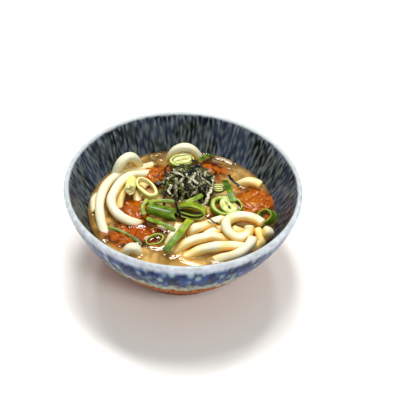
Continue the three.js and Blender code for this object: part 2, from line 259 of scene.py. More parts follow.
def eased(heights, count):
    """Heights spread evenly over count places, on the same spline as in the CAD source."""
    h = np.array([heights[0], *heights, heights[-1]], float)
    t = np.linspace(0, len(heights) - 1, count)
    i = np.minimum(t.astype(int), len(heights) - 2)
    a, b, c, d = (h[i + k] for k in range(4))
    u = t - i
    return b + 0.5 * ((c - a) * u + (2 * a - 5 * b + 4 * c - d) * u**2 + (3 * b - a - 3 * c + d) * u**3)


def lying_route(start, heading, bends, heights):
    """Points along a noodle that lies down, a bead's step apart."""
    plan, course = [start], math.radians(heading)
    for length, turn in bends:
        paces = int(length / BEAD_STEP + 0.5)
        pace, veer = length / paces, math.radians(turn) / paces
        for _ in range(paces):
            x, y = plan[-1]
            plan.append([x + pace * math.cos(course + veer / 2), y + pace * math.sin(course + veer / 2)])
            course += veer
    return np.column_stack([plan, eased(heights, len(plan))])


def arch_route(start, end, foot, top):
    """Points along a noodle that stands up in an arch."""
    angle = np.radians(np.linspace(0, 180, 13))
    across = ((1 - np.cos(angle)) / 2)[:, None]
    plan = np.array(start) + (np.array(end) - np.array(start)) * across
    return np.column_stack([plan, foot + (top - foot) * np.sin(angle)])


def lay(routes):
    """Lays each route over those before it, evens out its rises and keeps it off the bowl."""
    laid = np.zeros((0, 3))
    reach = 2 * NOODLE_R * NESTING
    for points in routes:
        for point in points:
            away = np.hypot(*(laid[:, :2] - point[:2]).T)
            near = away < reach
            rests = laid[near, 2] + np.sqrt(reach**2 - away[near] ** 2)
            point[2] = max([point[2], *rests])
        for _ in range(SLACK_ROUNDS):
            z = points[:, 2].copy()
            points[1:-1, 2] = np.maximum(z[1:-1], (z[:-2] + 2 * z[1:-1] + z[2:]) / 4)
        for point in points:
            limit = inside_r(point[2] - NOODLE_R / 2) - 1.1 * NOODLE_R - 0.6
            point[:2] *= min(1, limit / math.hypot(point[0], point[1]))
        laid = np.vstack([laid, points])
    return routes


def noodle(route, rng, half=NOODLE_R):
    """One cooked noodle: a soft square section that swells and thins a little, with cut ends."""
    path, run = curve(route, 0.8)
    from_end = np.minimum(run, run[-1] - run)
    end = 1 - 0.24 * (1 - np.clip(from_end / 0.9, 0, 1)) ** 2
    width = half * end * (1 + waver(rng, run, 0.07, [31, 13]))
    height = half * end * (0.97 + waver(rng, run, 0.07, [27, 11]))
    turn = waver(rng, run, 0.5, [70, 45])
    outline = superellipse(NOODLE_SIDES, NOODLE_SQUARENESS)
    return loft(sweep(path, outline, width, height, turn))


def noodle_heap():
    """The noodles that show, as in the CAD source."""
    rng = np.random.default_rng(4)
    heap = Shape()
    for route in [*lay([lying_route(*row) for row in NOODLES]), *[arch_route(*row) for row in ARCHES]]:
        heap.add(*noodle(route, rng))
    return heap


def sunken_noodles():
    """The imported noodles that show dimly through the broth, as arcs at random on the core."""
    rng = np.random.default_rng(11)
    heap = Shape()
    for _ in range(SUNKEN_COUNT):
        bearing, out = rng.uniform(0, 2 * math.pi), SUNKEN_SPREAD * math.sqrt(rng.uniform(0.02, 1))
        heading, radius, length = rng.uniform(0, 2 * math.pi), rng.uniform(14, 60), rng.uniform(28, 60)
        t = np.linspace(-0.5, 0.5, 9) * length / radius
        x = out * math.cos(bearing) + radius * (np.cos(heading + t) - math.cos(heading))
        y = out * math.sin(bearing) + radius * (np.sin(heading + t) - math.sin(heading))
        points = []
        for px, py in zip(x, y):
            r = math.hypot(px, py)
            pull = min(1, SUNKEN_LIMIT / r)
            points.append([px * pull, py * pull, core_top_z(r) - SUNKEN_DEPTH - rng.uniform(0, 0.8)])
        heap.add(*noodle(points, rng, SUNKEN_R))
    return heap


def noodle_core():
    """What lies under the sunken noodles, from the bowl's floor up."""
    floor = [[r, inside_z(r) + 0.4] for r in np.linspace(1, CORE_BASE_R, 8)]
    top = [[r, core_top_z(r) - 3] for r in np.linspace(SUNKEN_LIMIT, 1, 24)]
    return Shape().add(*turned([*floor, *top], CORE_SIDES))


def turned(profile, sides):
    """A profile of radii and heights, turned round the bowl's axis."""
    angle = np.arange(sides) * 2 * math.pi / sides
    profile = np.asarray(profile, float)
    x = profile[:, :1] * np.cos(angle)
    y = profile[:, :1] * np.sin(angle)
    return loft(np.stack([x, y, np.broadcast_to(profile[:, 1:], x.shape)], -1))


# ---------------------------------------------------------------- spring onion

# Cut rings and tubes: place, half size of the oval, wall, length along the stalk, lean from upright, where it
# leans to from +X, turn of the oval in plan, how green it is from 0 (white) to 1, and where the wall is
# heavier and by how much. Where layers lie inside, filling is their half size and thickness, inner_green how
# green they are, and shift how far off the middle and how much turned they lie.
RINGS = {
    "onion_ring_left": dict(
        at=[-24.5, 11.5, 54], half=[11, 5.2], wall=2, length=4.5, lean=12, towards=200, turn=-52,
        green=0.2, heavy=(-20, 0.45),
    ),
    "onion_stack_left": dict(
        at=[-35.5, 13, 55], half=[3.6, 3.6], wall=0.9, length=13, lean=78, towards=-92, turn=0,
        green=0.1, filling=(3, 3, 2.6), inner_green=0.05,
    ),
    "onion_tube_middle": dict(
        at=[-13, -9.6, 53.5], half=[3.6, 5], wall=1, length=19, lean=86, towards=168, turn=0, green=0.85,
    ),
    "onion_loop_middle": dict(
        at=[6, -8.6, 54.5], half=[10, 5], wall=1.1, length=7, lean=72, towards=258, turn=-10,
        green=0.62, filling=(8.7, 3, 1.2), inner_green=1, shift=(0, 0.7, 0),
    ),
    "onion_ring_right": dict(
        at=[28.7, -0.8, 52.5], half=[11, 8.2], wall=2.5, length=5.5, lean=14, towards=255, turn=-6,
        green=0.72, heavy=(190, 0.5), filling=(7.4, 5.4, 5.1), inner_green=0.5, shift=(1.6, 0, -46),
    ),
    "onion_chip_right": dict(
        at=[23.2, 15.5, 54], half=[4.8, 2.8], wall=1.2, length=4, lean=30, towards=270, turn=0,
        green=0.5, filling=(3.5, 1.5, 1.4), inner_green=0.35,
    ),
    "onion_curl_wall": dict(
        at=[55.5, -8.5, 52.5], half=[5.8, 4.8], wall=1.2, length=9, lean=48, towards=225, turn=20, green=0.75,
    ),
    "onion_ring_back": dict(
        at=[-3, 45.5, 51], half=[8.8, 4.8], wall=1.8, length=5, lean=28, towards=268, turn=6,
        green=0.5, heavy=(180, 0.3), filling=(6.7, 3.4, 3.25), inner_green=0.36, shift=(0.8, 0.2, 8),
    ),
    "onion_ring_front": dict(
        at=[-16.5, -30, 46.6], half=[6.5, 4.4], wall=1.2, length=3, lean=8, towards=270, turn=30, green=0.7,
    ),
}

# Strips and narrow leaves: width, thickness, route, and how green the start and the end are.
LEAVES = {
    "onion_leaf_front": dict(
        width=4.6, thick=2.2, green=(0.45, 0.85),
        route=[[6.5, -15.5, 51.5], [4.6, -18.8, 53.5], [-2.1, -33, 53.5], [-9.2, -43, 49.5]],
    ),
    "onion_strip_front": dict(
        width=3, thick=1.1, green=(0.65, 0.8),
        route=[[-22.8, -15.1, 51.5], [-13.8, -20, 52.5], [-3.9, -25, 51.5]],
    ),
    "onion_strip_middle": dict(
        width=2.8, thick=1.6, green=(0.6, 0.9),
        route=[[-22.5, -4.4, 56], [-14.2, -4.2, 57.5], [-5.5, -4.4, 57.5]],
    ),
    "onion_leaf_middle": dict(
        width=3.6, thick=1.2, green=(0.6, 0.75),
        route=[[2.2, -4.4, 57], [7.3, -1.6, 58.5], [12.6, 2.6, 58.5]],
    ),
    "onion_curl_left": dict(
        width=2.6, thick=1, green=(0.5, 0.7),
        route=[[-23.6, -0.5, 55], [-26, -7.4, 54.5], [-24.4, -13.6, 53]],
    ),
    "onion_strip_right": dict(
        width=4.6, thick=1.1, green=(1.1, 0.75),
        route=[[27.1, 22.4, 55], [30.2, 10.2, 57.5], [33.8, 0.8, 56]],
    ),
    "onion_strip_back": dict(
        width=3, thick=1, green=(0.8, 1),
        route=[[8.4, 45.3, 52], [13.1, 52.4, 50], [18, 58, 47]],
    ),
    "onion_strip_sunk": dict(
        width=2, thick=1.2, green=(0.8, 0.9),
        route=[[-49, -20, 46.6], [-39.6, -23.5, 46.8], [-30.7, -28.9, 46.6], [-25, -34, 46]],
    ),
}
ONION_SIDES = 110
LEAF_CUP = 0.35
JUST_OVER_ONE = 1.0001  # so that the outermost skin, 1, doesn't wrap round to 0


def onion_shell(rng, half, wall, length, heavy, layers):
    """Rings of an oval tube round its own middle, and the skin value of each corner."""
    angle = np.arange(ONION_SIDES) * 2 * math.pi / ONION_SIDES
    around, third, fifth = 2 * math.pi, 2 * math.pi / 3, 2 * math.pi / 5
    outline = superellipse(16 * layers, 5)
    outward = (outline[:, 0] + 1) / 2
    wobble = 1 + waver(rng, angle, 0.05, [math.pi, third, fifth])
    walls = wall * (1 + heavy[1] * np.cos(angle - math.radians(heavy[0])))
    walls = walls * (1 + waver(rng, angle, 0.2, [around, third]))
    slant = waver(rng, angle, 0.12 * length, [around, third])
    inset = (1 - outward)[None, :] * walls[:, None]
    x = (half[0] * wobble[:, None] - inset) * np.cos(angle)[:, None]
    y = (half[1] * wobble[:, None] - inset) * np.sin(angle)[:, None]
    z = outline[None, :, 1] * length / 2 + slant[:, None]
    skin = np.minimum(outward * layers % JUST_OVER_ONE, 1)
    return np.stack([x, y, z], -1), np.tile(skin, ONION_SIDES)


def onion_ring(
    seed, at, half, wall, length, lean, towards, turn, green,
    heavy=(0, 0), filling=None, inner_green=None, shift=(0, 0, 0),
):
    """A slice of a hollow leaf or stalk with its layers inside. In each, skin runs from 0 to 1 outwards."""
    rng = np.random.default_rng(seed)
    rotation = (
        Matrix.Rotation(math.radians(towards), 3, "Z")
        @ Matrix.Rotation(math.radians(lean), 3, "Y")
        @ Matrix.Rotation(math.radians(turn - towards), 3, "Z")
    )
    shells = [(onion_shell(rng, half, wall, length, heavy, 1), (0, 0, 0), green)]
    if filling:
        *inner_half, thickness = filling
        inner = onion_shell(rng, inner_half, thickness, length - 0.4, (0, 0), int(thickness))
        shells.append((inner, shift, inner_green))
    shape = Shape()
    for (rings, skin), (off_x, off_y, twist), shade in shells:
        own = Matrix.Rotation(math.radians(twist), 3, "Z")
        rings = rings @ np.array(own).T + [off_x, off_y, 0]
        verts, faces = loft(rings @ np.array(rotation).T + np.array(at), True)
        shape.add(verts, [face[::-1] for face in faces], skin=skin, green=shade)
    return shape


def onion_leaf(seed, width, thick, route, green):
    """A strip of leaf, slightly cupped and wavy. skin runs from 0 to 1 upwards."""
    rng = np.random.default_rng(seed)
    path, run = curve(route, 0.6)
    outline = superellipse(24, 4)
    taper = 1 - 0.3 * (1 - np.clip(np.minimum(run, run[-1] - run) / 1.5, 0, 1)) ** 2
    rings = sweep(path, outline, width / 2 * taper * (1 + waver(rng, run, 0.1, [19, 11])), thick / 2)
    _, over = frames(path)
    sag = LEAF_CUP * thick * (outline[None, :, 0] ** 2) + waver(rng, run, 0.4, [19, 13])[:, None]
    verts, faces = loft(rings + sag[..., None] * over[:, None])
    skin = np.concatenate([np.tile((outline[:, 1] + 1) / 2, len(path)), [0.5, 0.5]])
    fresh = green[0] + (green[1] - green[0]) * run / run[-1]
    return Shape().add(verts, faces, skin=skin, green=ring_values(fresh, len(outline)))


# ---------------------------------------------------------------- relish

# Patches of chopped red relish: place, half size, height, seed, and how bright it is from 0 to 1.
RELISH = {
    "relish_back": dict(at=[-19, 31.5, 48], half=[11.5, 8.5], height=5, seed=3, bright=1),
    "relish_far": dict(at=[15, 41, 47], half=[9, 6.5], height=4, seed=4, bright=0.9),
    "relish_left": dict(at=[-30, -2.5, 46], half=[8.5, 13], height=5, seed=5, bright=0.85),
    "relish_front": dict(at=[-30, -24.5, 44.8], half=[15, 8.5], height=2.6, seed=8, bright=0.1),
    "relish_right": dict(at=[45, 9.5, 47], half=[13.5, 11.5], height=5, seed=12, bright=1),
}
RELISH_SIDES = 190
RELISH_RINGS = 60
LUMPS_PER_MM2 = 0.5


def relish(at, half, height, seed, bright):
    """A low glossy heap: soft chopped pieces packed over a dome that thins out at its edge."""
    rng = np.random.default_rng(seed)
    angle = np.arange(RELISH_SIDES) * 2 * math.pi / RELISH_SIDES
    share = np.linspace(0.01, 1, RELISH_RINGS)
    edge = 1 + waver(rng, angle, 0.2, [2 * math.pi, math.pi, 2 * math.pi / 3, 2 * math.pi / 7])
    x = at[0] + half[0] * share[:, None] * edge * np.cos(angle)
    y = at[1] + half[1] * share[:, None] * edge * np.sin(angle)
    z = at[2] + 0.5 * height * (1 - share**2)[:, None] + 0 * x
    crest, tone = np.zeros_like(x), np.full_like(x, 0.3)
    for _ in range(int(half[0] * half[1] * LUMPS_PER_MM2)):
        bearing, out = rng.uniform(0, 2 * math.pi), math.sqrt(rng.uniform(0, 0.85))
        size = rng.uniform(1, 3) * (1.1 - 0.4 * out)
        px, py = at[0] + half[0] * out * math.cos(bearing), at[1] + half[1] * out * math.sin(bearing)
        turn, long = rng.uniform(0, math.pi), rng.uniform(1, 2.4)
        dx = (x - px) * math.cos(turn) + (y - py) * math.sin(turn)
        dy = (y - py) * math.cos(turn) - (x - px) * math.sin(turn)
        lump = np.clip(1 - ((dx / long) ** 2 + dy**2) / size**2, 0, 1)
        base = at[2] + 0.5 * height * (1 - out * out)
        tilt = rng.uniform(-0.3, 0.3) * dx + rng.uniform(-0.3, 0.3) * dy
        raised = np.where(lump > 0, base + tilt + rng.uniform(0.25, 0.6) * size * lump**0.5, 0)
        over = raised > z
        z = np.where(over, raised, z)
        crest = np.where(over, lump, crest)
        tone = np.where(over, rng.uniform(), tone)
    z[-1] = at[2] - 1
    verts, faces = loft(np.stack([x, y, z], -1))
    tone = bright * tone - 0.35 * (1 - bright)
    crest, tone = (np.append(v.ravel(), [v[0, 0], v[-1, 0]]) for v in (crest, tone))
    return Shape().add(verts, faces, crest=crest, tone=tone)


# ---------------------------------------------------------------- nori

NORI_AT = [3.5, 18.5, 51]
NORI_HALF = [18, 15]
NORI_HEIGHT = 13
NORI_LOWEST = 52
NORI_BED = 0.93  # the bed's share of the heap's half size
SHREDS = 150
GOLDEN_ANGLE = 2.4  # in radians

# Single shreds on and round the heap: route, width, and how pale they are from 0 to 1, where the palest are
# painted near white as a painted highlight.
LOOSE_SHREDS = [
    ([[-13.5, 4.5, 57.5], [-12.3, -1, 56], [-11.5, -9, 55.5]], 1.6, 0.1),
    ([[-6, 2, 59], [-4.6, -5, 59.5], [-3, -11, 58.5], [-0.4, -16.2, 54]], 1.8, 0.1),
    ([[19.1, 23.4, 58.5], [18.6, 14.2, 58], [16.8, 5.3, 56.5], [13.5, -6.7, 55.5]], 2.2, 0.8),
    ([[16.5, -15.1, 55.2], [20.5, -17.6, 54.6], [24.5, -19.6, 54]], 1.6, 0),
    ([[4.3, 41.4, 56], [9.3, 35.3, 57], [15, 29.5, 57]], 1.8, 0),
    ([[29.4, 30, 54], [33.6, 23.1, 54], [37, 19.3, 53.6]], 1.8, 0.1),
    ([[-5.6, 30.7, 58], [-0.2, 33.1, 58], [5.6, 34.2, 57.5]], 1.5, 0),
    ([[13.7, 14.9, 63.5], [20.4, 26.2, 57], [20.8, 30.1, 56], [18.5, 34.4, 55.5]], 1.6, 0),
    ([[-11.5, 37.1, 54.5], [-13.5, 29.1, 56.5], [-12.7, 20, 59]], 1.5, 0.1),
    ([[-14.2, 31.5, 55], [-19.9, 22, 55]], 1.3, 0),
    ([[-8.2, 20.1, 63.2], [-2.1, 14.3, 65.3], [3.8, 11.5, 65], [9.4, 9.3, 63]], 2, 1),
    ([[7.7, 15.8, 66], [5.2, 12.2, 65.3], [3.4, 9, 63.5]], 1.8, 1),
    ([[-8.5, 9.6, 59.8], [-9.6, 7, 57.8], [-8.6, 4.3, 57]], 1.8, 0.9),
]


def nori_top(x, y):
    """The height of the heap's dome at a place."""
    inside = 1 - ((x - NORI_AT[0]) / NORI_HALF[0]) ** 2 - ((y - NORI_AT[1]) / NORI_HALF[1]) ** 2
    return NORI_AT[2] + NORI_HEIGHT * math.sqrt(max(inside, 0))


def shred(points, width, rng):
    """A crinkled ribbon of dried seaweed."""
    path, run = curve(points, 0.7)
    path = path + np.stack([waver(rng, run, 0.6, [11, 5]) for _ in range(3)], 1)
    outline = superellipse(8, 5)
    turn = rng.uniform(-0.7, 0.7) + waver(rng, run, 0.9, [23, 13])
    return loft(sweep(path, outline, width / 2, 0.14, turn))


def nori_heap():
    """Shreds laid at random over the dome, then the single ones."""
    rng = np.random.default_rng(21)
    heap = Shape()
    for i in range(SHREDS):
        bearing, out = i * GOLDEN_ANGLE, 0.92 * math.sqrt((i + 0.5) / SHREDS)
        heading, length = rng.uniform(0, 2 * math.pi), rng.uniform(6, 15)
        middle_x = NORI_AT[0] + NORI_HALF[0] * out * math.cos(bearing)
        middle_y = NORI_AT[1] + NORI_HALF[1] * out * math.sin(bearing)
        bend, lift = rng.uniform(-1, 1), rng.uniform(-0.9, 1.1)
        points = []
        for t in np.linspace(-0.5, 0.5, 5):
            x = middle_x + t * length * math.cos(heading + bend * t)
            y = middle_y + t * length * math.sin(heading + bend * t)
            points.append([x, y, max(nori_top(x, y), NORI_LOWEST) + lift + rng.uniform(-0.5, 0.5)])
        heap.add(*shred(points, rng.uniform(1, 2.7), rng), pale=rng.uniform())
    for points, width, pale in LOOSE_SHREDS:
        heap.add(*shred(points, width, rng), pale=pale)
    return heap


def nori_dome():
    """The rippled dome under the shreds."""
    rng = np.random.default_rng(2)
    angle = np.arange(90) * 2 * math.pi / 90
    share = np.linspace(0.02, 1, 30)[:, None]
    x = NORI_AT[0] + NORI_HALF[0] * NORI_BED * share * np.cos(angle)
    y = NORI_AT[1] + NORI_HALF[1] * NORI_BED * share * np.sin(angle)
    ripple = sum(waver(rng, x * c + y * s, 1.2, [5, 3.1]) for c, s in ((1, 0), (0, 1), (0.7, 0.7)))
    z = NORI_AT[2] - 1 + (NORI_HEIGHT - 0.8) * np.sqrt(1 - share**2) + ripple * np.sqrt(1 - share**2)
    return Shape().add(*loft(np.stack([x, y, z], -1)), pale=0.0)


# ---------------------------------------------------------------- all the contents

noodles = noodle_heap()
sunken = sunken_noodles()
core = noodle_core()
onions = {
    **{name: onion_ring(seed, **ring) for seed, (name, ring) in enumerate(RINGS.items())},
    **{name: onion_leaf(seed, **leaf) for seed, (name, leaf) in enumerate(LEAVES.items())},
}
relishes = {name: relish(**patch) for name, patch in RELISH.items()}
nori_shreds = nori_heap()
nori_bed = nori_dome()
contents = [noodles, sunken, core, *onions.values(), *relishes.values(), nori_shreds, nori_bed]


def tree_of(shapes):
    """A tree for casting rays at some shapes."""
    joined = Shape()
    for shape in shapes:
        joined.add(shape.verts, shape.faces)
    return BVHTree.FromPolygons(joined.verts.tolist(), joined.faces)


contents_tree = tree_of(contents)

SHELTER_REACH = 13
SHELTER_RAYS = 12


def shelter(shape):
    """How shut in each corner is, from 0 in the open to 1 in a narrow gap."""
    rng = np.random.default_rng(1)
    normals = shape.normals()
    spread = rng.normal(size=(SHELTER_RAYS, 3))
    spread /= np.linalg.norm(spread, axis=1, keepdims=True)
    blocked = np.zeros(len(shape.verts))
    for i, (corner, normal) in enumerate(zip(shape.verts, normals)):
        start = Vector(corner + 0.2 * normal)
        for away in spread:
            direction = Vector(normal * 1.05 + away)
            if contents_tree.ray_cast(start, direction, SHELTER_REACH)[0] is not None:
                blocked[i] += 1
    return blocked / SHELTER_RAYS


def oiliness(x, y):
    """How much red oil floats at a place: 1 on the patches of relish, some in the middle, 0 elsewhere."""
    oil = 0.75 * np.exp(-((x - 8) ** 2 + (y - 2) ** 2) / 700)
    for patch in RELISH.values():
        (px, py), (half_x, half_y) = patch["at"][:2], patch["half"]
        out = np.hypot((x - px) / (half_x + 3), (y - py) / (half_y + 3))
        oil = np.maximum(oil, 1 - smooth(0.7, 1.8, out))
    return oil


def stain_shade_and_oil(heap):
    """How deep the colour of each corner is, and how much oil lies on it. The colour is deeper near the broth
    and towards the right, and also in gaps and underneath as painted shade."""
    above = np.clip(heap.verts[:, 2] - BROTH_Z, 0, None)
    facing = heap.normals()[:, 2]
    # Shut-in corners and undersides are darkened as painted shade; nearness to the broth and the right side
    # deepen the colour itself.
    depth = 0.65 * heap.values["shelter"] + 0.2 * (1 - facing) + 0.3 * np.exp(-above / 2.5)
    depth += 0.2 * smooth(-30, 25, heap.verts[:, 0]) - 0.08
    return depth, oiliness(*heap.verts[:, :2].T) * np.exp(-above / 2.2)


# Shelter is used to paint shade into the colour of the noodles, onions and relish where they are shut in.
for shape in [noodles, *onions.values(), *relishes.values()]:
    shape.values["shelter"] = shelter(shape)
noodles.values["stain_and_shade"], noodles.values["oil"] = stain_shade_and_oil(noodles)

# ---------------------------------------------------------------- broth

BROTH_SIDES = 500
BROTH_GAP = 0.15
HEADROOM = 30
DEEPEST = 40
UP = Vector((0, 0, 1))
DOWN = Vector((0, 0, -1))

# Lines along which the surface is drawn up, as round what lies just under it.
RIDGES = [
    [[-10.3, -40.6], [-5.9, -43], [-1.2, -42], [1.6, -40]],
    [[1.1, -44.8], [6, -47.5], [12.4, -48.5], [18.2, -47.7]],
    [[-20.3, -35.9], [-15.9, -36.3], [-11.7, -35.5], [-9.5, -32]],
    [[-41.2, -35.1], [-37.4, -36.1], [-34.3, -34.5], [-32.3, -33.1]],
    [[-26.8, -37], [-23.2, -39.6], [-20.5, -38.3]],
    [[-50.8, -29.6], [-48.7, -31.6], [-46.9, -29.6]],
    [[-27.6, -16.6], [-23.2, -17], [-19.2, -19.9], [-15.6, -24.3]],
    [[-17.2, -16.6], [-13.8, -18.7], [-10.9, -21.6]],
    [[20.1, 46.9], [23.3, 48.5], [29.1, 47.5], [33.8, 44.9], [34.2, 40], [31, 36.7]],
    [[19.5, 57.7], [26, 55.3], [32.5, 51.3]],
    [[-31.5, 50.1], [-26.5, 53.8], [-17.4, 57.7]],
    [[-25.5, 55], [-20, 52], [-15, 52.3]],
    [[41.5, 26.6], [46, 28], [49.4, 26.1]],
]


def tree_in_plan(points):
    """A tree that finds the nearest of some points in plan."""
    tree = kdtree.KDTree(len(points))
    for i, (x, y) in enumerate(points):
        tree.insert((x, y, 0), i)
    tree.balance()
    return tree


def soundings(places):
    """Whether each place on the surface is inside something, and how deep the clear broth is there."""
    wall_verts, wall_faces = turned([[r, inside_z(r)] for r in np.linspace(1, 70, 50)], CORE_SIDES)
    wall = BVHTree.FromPolygons(wall_verts.tolist(), wall_faces)
    covered, depth = [], []
    for x, y in places:
        start = Vector((x, y, BROTH_Z))
        normal = contents_tree.ray_cast(start, UP, HEADROOM)[1]
        covered.append(normal is not None and normal.z > 0)
        depth.append(min(tree.ray_cast(start, DOWN, DEEPEST)[3] or DEEPEST for tree in (contents_tree, wall)))
    return np.array(covered), np.where(covered, 0.3, depth)


def drawn_up(places, covered):
    """How far the surface climbs what stands out of it."""
    found = tree_in_plan(places[covered])
    away = np.array([0 if over else found.find((x, y, 0))[2] for (x, y), over in zip(places, covered)])
    return 0.9 * np.exp(-away / 2.2)


def ridge_strength(places):
    """How near each place is to a ridge: 1 on its middle, less towards its ends and 0 away from it."""
    lines = [curve([[*point, 0] for point in ridge], 0.3)[0][:, :2] for ridge in RIDGES]
    along = [np.linspace(0.15, math.pi - 0.15, len(line)) for line in lines]
    strength = np.sin(np.concatenate(along)) ** 0.5
    found = tree_in_plan(np.vstack(lines))
    nearest = [found.find((x, y, 0)) for x, y in places]
    return np.array([strength[i] * math.exp(-((off / 1.6) ** 2)) for _, i, off in nearest])


def dimness(verts):
    """How little light reaches the broth: 1 at the back and along the wall, less to the front and left."""
    x, y = verts[:, 0], verts[:, 1]
    by_wall = smooth(54, 65, np.hypot(x, y)) * smooth(-45, -15, y) * smooth(-60, -30, x)
    return np.maximum(by_wall, smooth(20, 55, y))


def broth():
    """The broth, with its surface drawn up where things stand out of it and along the wall."""
    angle = np.arange(BROTH_SIDES) * 2 * math.pi / BROTH_SIDES
    rim = inside_r(BROTH_Z) - BROTH_GAP
    radii = np.concatenate([np.linspace(0.5, rim - 3, 112), np.linspace(rim - 2.8, rim, 8)])
    x = radii[:, None] * np.cos(angle)
    y = radii[:, None] * np.sin(angle)
    places = np.stack([x, y], -1).reshape(-1, 2)
    covered, depth = soundings(places)
    drawn = drawn_up(places, covered)
    climb = np.maximum(drawn, 0.8 * np.exp(-(rim - np.hypot(*places.T)) / 1.6)).reshape(x.shape)
    for _ in range(2):
        inward, outward = np.vstack([climb[:1], climb[:-1]]), np.vstack([climb[1:], climb[-1:]])
        climb = (2 * climb + inward + outward + np.roll(climb, 1, 1) + np.roll(climb, -1, 1)) / 6
    ridge = ridge_strength(places)
    climb = climb + 0.6 * ridge.reshape(x.shape)
    z = BROTH_Z - BROTH_GAP + climb
    side = np.linspace(BROTH_Z - 1, 15, 14)
    reach = np.array([inside_r(h) - 0.3 for h in side])[:, None]
    lower = np.stack([reach * np.cos(angle), reach * np.sin(angle), side[:, None] + 0 * angle], -1)
    verts, faces = loft(np.concatenate([np.stack([x, y, z], -1), lower]))
    oil = oiliness(*places.T)
    veil = np.maximum(0.55 * smooth(0, 0.5, drawn), 0.95 * smooth(0.1, 0.6, ridge))
    rest = BROTH_SIDES * len(side)
    deep = np.concatenate([depth, np.full(rest, 2.0), [depth[0], 2.0]])
    oil = np.concatenate([oil, np.zeros(rest), [oil[0], 0]])
    veil = np.append(veil, np.zeros(rest + 2))
    return Shape().add(verts, faces, deep=deep, oil=oil, veil=veil, dim=dimness(verts))


soup = broth()

# ---------------------------------------------------------------- bowl

BOWL_SIDES = 240


def bowl():
    """The bowl's wall, with the distance run from the top of the lip down either side."""
    foot_inside = FOOT_R - FOOT_WALL
    foot = [
        [0.5, FOOT_RECESS],
        [foot_inside - 1.2, FOOT_RECESS],
        [foot_inside - 0.6, FOOT_RECESS - 0.5],
        [foot_inside, 0.5],
        [foot_inside + 0.5, 0],
        [FOOT_R - 0.5, 0],
        [FOOT_R, 0.5],
        [FOOT_R + 0.8, 5.2],
        [FOOT_R + 1.2, 6.4],
        [FOOT_R + 2.4, 7.3],
    ]
    outside = [[outside_r(z), z] for z in np.linspace(FOOT_H, WALL_TOP, 46)]
    lip_angle = np.radians(np.linspace(10, 170, 13))
    lip = [[RIM_R - LIP_R + LIP_R * math.cos(a), WALL_TOP + LIP_R * math.sin(a)] for a in lip_angle]
    inside = [[r, inside_z(r)] for r in np.linspace(INSIDE_R, 0.5, 60)]
    profile = np.array([*foot, *outside, *lip, *inside])
    top = len(foot) + len(outside) + len(lip) // 2
    run = np.concatenate([[0], np.cumsum(np.linalg.norm(np.diff(profile, axis=0), axis=1))])
    run = ring_values(np.abs(run - run[top]), BOWL_SIDES)
    inner = ring_values(np.where(np.arange(len(profile)) > top, 1.0, 0.0), BOWL_SIDES)
    return Shape().add(*turned(profile, BOWL_SIDES), run=run, inner=inner)


# ---------------------------------------------------------------- materials

def rgb(red, green, blue):
    """A colour as seen on a screen, from 0 to 255, as the shader takes it."""
    shares = [c / 255 for c in (red, green, blue)]
    return [((c + 0.055) / 1.055) ** 2.4 if c > 0.04045 else c / 12.92 for c in shares] + [1]


class Graph:
    """A material's shader nodes."""

    def __init__(self, name, **settings):
        self.material = bpy.data.materials.new(name)
        self.material.use_nodes = True
        self.tree = self.material.node_tree
        self.shader = self.tree.nodes["Principled BSDF"]
        for key, value in settings.items():
            self.shader.inputs[key.replace("_", " ")].default_value = value

    def feed(self, socket, value):
        if isinstance(value, bpy.types.NodeSocket):
            self.tree.links.new(value, socket)
        else:
            socket.default_value = value

    def node(self, kind, inputs, **settings):
        made = self.tree.nodes.new("ShaderNode" + kind)
        for key, value in settings.items():
            setattr(made, key, value)
        for key, value in inputs.items():
            self.feed(made.inputs[key], value)
        return made

    def math(self, operation, *values):
        return self.node("Math", dict(enumerate(values)), operation=operation).outputs[0]

    def value(self, name):
        """What the mesh says at each corner."""
        return self.node("Attribute", {}, attribute_name=name).outputs["Fac"]

    def fade(self, value, low, high):
        """A smooth step from 0 at low to 1 at high."""
        ends = {"Value": value, "From Min": low, "From Max": high}
        return self.node("MapRange", ends, interpolation_type="SMOOTHSTEP").outputs[0]

    def mix(self, share, a, b):
        """A colour between a and b."""
        return self.node("Mix", {0: share, 6: a, 7: b}, data_type="RGBA").outputs[2]

    def place(self):
        return self.node("TexCoord", {}).outputs["Object"]

    def noise(self, size, detail=2, stretch=(1, 1, 1)):
        """Noise whose blotches are about size millimetres across."""
        scaled = self.node("VectorMath", {0: self.place(), 1: stretch}, operation="MULTIPLY")
        inputs = {"Vector": scaled.outputs[0], "Scale": 1 / (size * MM), "Detail": detail}
        return self.node("TexNoise", inputs).outputs[0]

    def centred(self, value, by):
        """A value from 0 to 1, moved to lie round 0 and made as wide as by."""
        return self.math("MULTIPLY", self.math("SUBTRACT", value, 0.5), by)

    def bump(self, height, distance, strength=1.0):
        inputs = {"Height": height, "Distance": distance * MM, "Strength": strength}
        self.feed(self.shader.inputs["Normal"], self.node("Bump", inputs).outputs[0])

    def colour(self, value):
        self.feed(self.shader.inputs["Base Color"], value)
        return self


def noodle_material(name, tones):
    """Wet noodle: pale where it is clear of the broth, golden to amber near the broth, and in the hollows and
    underneath as painted shade.
    """
    g = Graph(name, Roughness=0.28, IOR=1.33, Subsurface_Weight=0.15, Subsurface_Scale=0.003)
    # The colour deepens near the broth, and also in gaps and underneath, which is painted shade.
    stain_and_shade = g.math("ADD", g.value("stain_and_shade"), g.centred(g.noise(14), 1.2))
    colour = g.mix(g.fade(stain_and_shade, 0.05, 0.4), tones[0], tones[1])
    colour = g.mix(g.fade(stain_and_shade, 0.3, 0.7), colour, tones[2])
    colour = g.mix(g.fade(stain_and_shade, 0.65, 1.15), colour, tones[3])
    g.colour(g.mix(g.fade(g.value("oil"), 0.3, 0.95), colour, rgb(200, 104, 26)))
    g.bump(g.noise(2.2, 2), 0.1, 0.4)
    return g.material


